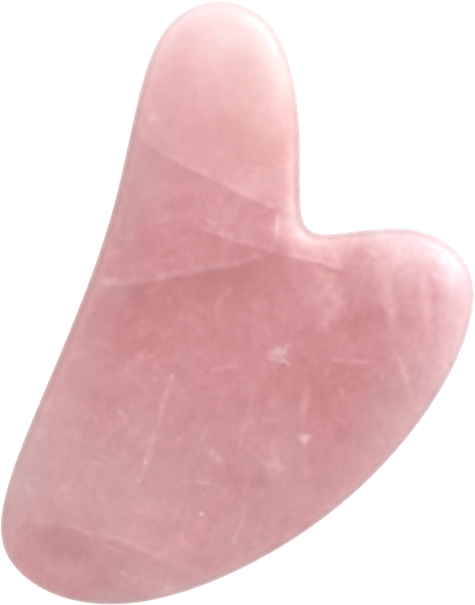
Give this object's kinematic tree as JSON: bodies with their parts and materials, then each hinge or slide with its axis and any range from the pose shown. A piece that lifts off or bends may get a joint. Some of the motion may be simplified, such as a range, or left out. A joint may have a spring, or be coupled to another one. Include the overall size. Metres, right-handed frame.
{
  "type": "gua sha scraper",
  "caption": "Flat stone scraping board for facial massage: a two-lobed outline with a notch between the lobes, flat faces and a fully rounded polished rim.",
  "frame": {"origin": "on the back face, under the middle of the board's overall width and length", "axes": "+X towards the small lobe, +Y up the tall lobe along the longest side, +Z out of the front face through the thickness"},
  "size_m": [0.069, 0.088, 0.0065],
  "materials": {
    "rose_quartz": "polished"
  },
  "bodies": {
    "root": {"stone_board": "rose_quartz"}
  },
  "joints": []
}
